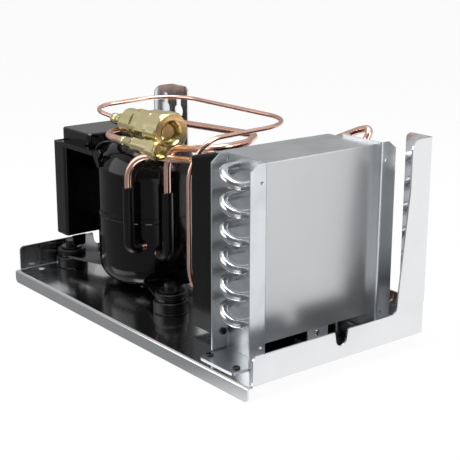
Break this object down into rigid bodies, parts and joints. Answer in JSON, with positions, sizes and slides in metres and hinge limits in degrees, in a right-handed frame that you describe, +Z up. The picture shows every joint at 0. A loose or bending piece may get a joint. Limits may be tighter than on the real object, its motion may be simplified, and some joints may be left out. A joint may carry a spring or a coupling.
{
  "type": "refrigeration condensing unit",
  "caption": "Compact condensing unit: hermetic compressor, fan-blown finned coil and self-sealing couplings on a folded tray with keyhole wall arms",
  "frame": {"origin": "under the middle of the tray, level with the lower edge of its front lip", "axes": "X along the long front edge with the coil at +X, Y from the front lip towards the wall, Z up"},
  "size_m": [0.362, 0.192, 0.1837],
  "materials": {
    "tray_steel": "polished",
    "plate_steel": "satin",
    "fin_aluminium": "satin",
    "tube_aluminium": "polished",
    "black_screw": "satin",
    "black_plastic": "matt",
    "magnet": "matt",
    "wire_chrome": "polished",
    "black_paint": "gloss",
    "rubber": "matt",
    "bolt_steel": "satin",
    "copper": "polished",
    "cast_iron": "matt",
    "black_gloss": "gloss",
    "board": "satin",
    "brass": "polished"
  },
  "bodies": {
    "unit": {"tray": "tray_steel", "coil_end_plate_front": "plate_steel", "coil_end_plate_rear": "plate_steel", "coil_fin_pack": "fin_aluminium", "coil_hairpins": "tube_aluminium", "coil_return_bends": "tube_aluminium", "coil_foot_screws": "black_screw", "coil_top_cover": "plate_steel", "support_bracket": "plate_steel", "support_bracket_screw": "black_screw", "fan_shroud": "black_plastic", "shroud_screws": "black_screw", "fan_frame": "black_plastic", "fan_bearings": "plate_steel", "fan_stator": "plate_steel", "fan_guard": "wire_chrome", "fan_screws": "black_screw", "compressor_bowl": "black_paint", "compressor_lid": "black_paint", "compressor_base": "black_paint", "compressor_grommets": "rubber", "grommet_sleeves": "plate_steel", "compressor_bolts": "black_screw", "compressor_nuts": "bolt_steel", "motor_stator": "plate_steel", "motor_windings": "copper", "motor_rotor": "plate_steel", "crankshaft": "cast_iron", "pump_block": "cast_iron", "cylinder_head": "cast_iron", "piston": "cast_iron", "suspension_springs": "bolt_steel", "terminal_cover": "black_plastic", "controller_body": "black_gloss", "controller_board": "board", "controller_cap": "black_gloss", "controller_rail": "black_gloss", "upper_coupling_body": "brass", "upper_coupling_spring": "bolt_steel", "lower_coupling_body": "brass", "discharge_pipe": "copper", "suction_pipe": "copper", "liquid_pipe": "copper", "discharge_sleeve": "rubber", "suction_sleeve": "rubber", "lower_coupling_spring": "bolt_steel"},
    "fan_rotor": {"fan_rotor": "black_plastic", "fan_magnet": "magnet", "fan_shaft": "plate_steel"},
    "upper_nut": {"upper_coupling_nut": "brass"},
    "lower_nut": {"lower_coupling_nut": "brass"},
    "upper_poppet": {"upper_coupling_poppet": "brass"},
    "lower_poppet": {"lower_coupling_poppet": "brass"}
  },
  "joints": [
    {"name": "fan_spin", "type": "hinge", "parent": "unit", "child": "fan_rotor", "pos_m": [0.077, 0.0029, 0.0905], "axis": [1, 0, 0], "continuous": true},
    {"name": "upper_nut_turn", "type": "hinge", "parent": "unit", "child": "upper_nut", "pos_m": [-0.012, -0.025, 0.1665], "axis": [1, 0, 0], "continuous": true},
    {"name": "lower_nut_turn", "type": "hinge", "parent": "unit", "child": "lower_nut", "pos_m": [0.005, -0.048, 0.156], "axis": [1, 0, 0], "continuous": true},
    {"name": "upper_poppet_travel", "type": "slide", "parent": "unit", "child": "upper_poppet", "axis": [1, 0, 0], "range_m": [-0.006, 0], "stiffness_N_per_m": 600, "springref_m": 0.002, "deforming": ["upper_coupling_spring"]},
    {"name": "lower_poppet_travel", "type": "slide", "parent": "unit", "child": "lower_poppet", "axis": [1, 0, 0], "range_m": [-0.003, 0], "stiffness_N_per_m": 300, "springref_m": 0.002, "deforming": ["lower_coupling_spring"]}
  ]
}
